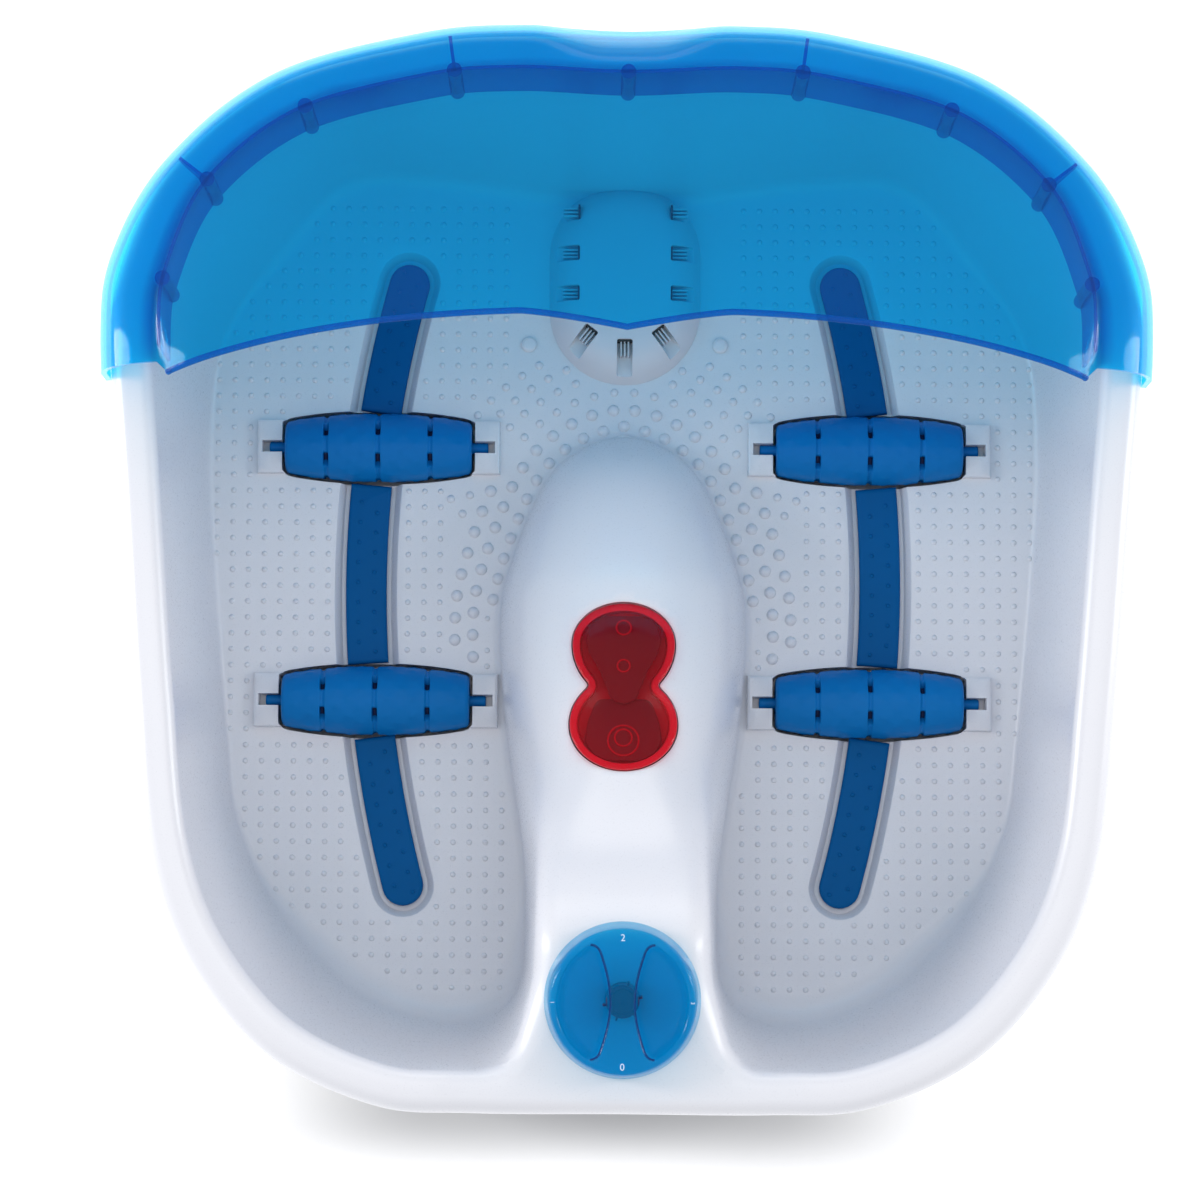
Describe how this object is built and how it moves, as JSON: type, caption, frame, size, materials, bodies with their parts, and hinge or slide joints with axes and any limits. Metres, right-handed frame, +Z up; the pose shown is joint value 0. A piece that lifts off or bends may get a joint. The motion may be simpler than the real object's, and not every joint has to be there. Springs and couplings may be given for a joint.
{
  "type": "foot spa basin",
  "caption": "Foot spa basin: a moulded tub with a centre console, spinning massage rollers, air strips, lamp window, mode knob and a clear blue splash guard that lifts off.",
  "frame": {"origin": "on the ground under the middle of the whole object", "axes": "+Z up, +Y towards the rear with the splash guard, +X to the right of a seated user's feet"},
  "size_m": [0.3594, 0.3725, 0.1955],
  "materials": {
    "tub_white": "satin moulded",
    "cover_white": "fine texture",
    "guard_blue": "clear tinted, polished",
    "knob_blue": "clear tinted, polished",
    "roller_blue": "satin",
    "strip_blue": "soft satin",
    "lens_red": "clear tinted, polished",
    "rubber": "matte",
    "steel": "zinc plated",
    "brass": "turned",
    "black_plastic": "moulded",
    "lamp_red": "lacquered lamp",
    "hose_clear": "soft silicone"
  },
  "bodies": {
    "tub": {"air_hose_left": "hose_clear", "air_hose_right": "hose_clear", "air_pump": "black_plastic", "air_strip_front_left": "strip_blue", "air_strip_front_right": "strip_blue", "air_strip_middle_left": "strip_blue", "air_strip_middle_right": "strip_blue", "air_strip_rear_left": "strip_blue", "air_strip_rear_right": "strip_blue", "base_cover": "cover_white", "base_screw_1": "steel", "base_screw_2": "steel", "base_screw_3": "steel", "base_screw_4": "steel", "base_screw_5": "steel", "base_screw_6": "steel", "cord_gland": "rubber", "foot_front_left": "rubber", "foot_front_right": "rubber", "foot_rear_left": "rubber", "foot_rear_right": "rubber", "heater_cover": "cover_white", "heating_plate": "steel", "hose_tee": "black_plastic", "ir_lamp_front": "lamp_red", "ir_lamp_rear": "lamp_red", "ir_lens": "lens_red", "lamp_holder": "black_plastic", "lens_seal": "rubber", "motor_cradle": "black_plastic", "rotary_switch": "black_plastic", "screw_plug_left": "cover_white", "screw_plug_right": "cover_white", "shaft_seal": "rubber", "terminal_block": "black_plastic", "thermostat": "black_plastic", "tub_shell": "tub_white", "vibration_motor": "steel"},
    "guard": {"splash_guard": "guard_blue"},
    "knob": {"control_knob": "knob_blue", "knob_shaft": "brass"},
    "vibrator_rotor": {"motor_shaft": "steel", "eccentric_weight": "brass"},
    "roller_rear_left": {"roller_rear_left": "roller_blue"},
    "roller_rear_right": {"roller_rear_right": "roller_blue"},
    "roller_front_left": {"roller_front_left": "roller_blue"},
    "roller_front_right": {"roller_front_right": "roller_blue"}
  },
  "joints": [
    {"name": "guard_lift", "type": "slide", "parent": "tub", "child": "guard", "axis": [0, 0, 1], "range_m": [0, 0.03]},
    {"name": "knob_turn", "type": "hinge", "parent": "tub", "child": "knob", "pos_m": [0, -0.148, 0.1595], "axis": [0, -0.0872, 0.9962], "range_deg": [0, 270]},
    {"name": "vibrator_spin", "type": "hinge", "parent": "tub", "child": "vibrator_rotor", "pos_m": [-0.072, -0.092, 0.0215], "axis": [1, 0, 0], "continuous": true},
    {"name": "roller_rear_left_spin", "type": "hinge", "parent": "tub", "child": "roller_rear_left", "pos_m": [-0.0908, 0.056, 0.041], "axis": [1, 0, 0], "continuous": true},
    {"name": "roller_rear_right_spin", "type": "hinge", "parent": "tub", "child": "roller_rear_right", "pos_m": [0.0908, 0.056, 0.041], "axis": [1, 0, 0], "continuous": true},
    {"name": "roller_front_left_spin", "type": "hinge", "parent": "tub", "child": "roller_front_left", "pos_m": [-0.0908, -0.038, 0.041], "axis": [1, 0, 0], "continuous": true},
    {"name": "roller_front_right_spin", "type": "hinge", "parent": "tub", "child": "roller_front_right", "pos_m": [0.0908, -0.038, 0.041], "axis": [1, 0, 0], "continuous": true}
  ]
}
